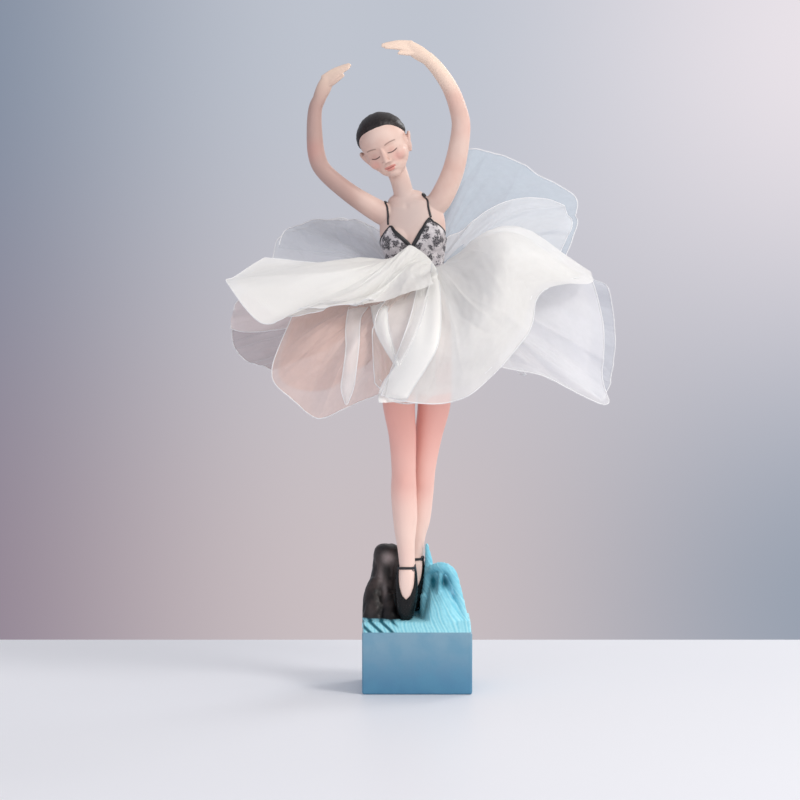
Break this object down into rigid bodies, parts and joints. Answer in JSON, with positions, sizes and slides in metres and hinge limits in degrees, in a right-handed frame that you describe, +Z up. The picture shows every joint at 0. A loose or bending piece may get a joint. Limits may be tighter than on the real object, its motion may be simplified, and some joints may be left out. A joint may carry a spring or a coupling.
{
  "type": "ballerina figurine",
  "caption": "Cast ballerina figurine en pointe on a carved rock and wave block, arms raised in a circle, with a gathered sheer organza tutu.",
  "frame": {"origin": "middle of the block's underside, on the surface the figurine stands on", "axes": "+Z up, the dancer faces -Y, +X to the right of someone looking at the figurine's front"},
  "size_m": [0.177, 0.1248, 0.2928],
  "materials": {
    "bisque": "satin",
    "painted_block": "satin",
    "organza": "sheer"
  },
  "bodies": {
    "root": {"dancer": "bisque", "base": "painted_block", "tutu_front_left": "organza", "tutu_far_left": "organza", "tutu_left_puff": "organza", "tutu_centre": "organza", "tutu_right_puff": "organza", "tutu_right_flap": "organza", "tutu_right_tail": "organza", "tutu_back_right": "organza", "tutu_back_left": "organza", "tutu_back": "organza"}
  },
  "joints": []
}
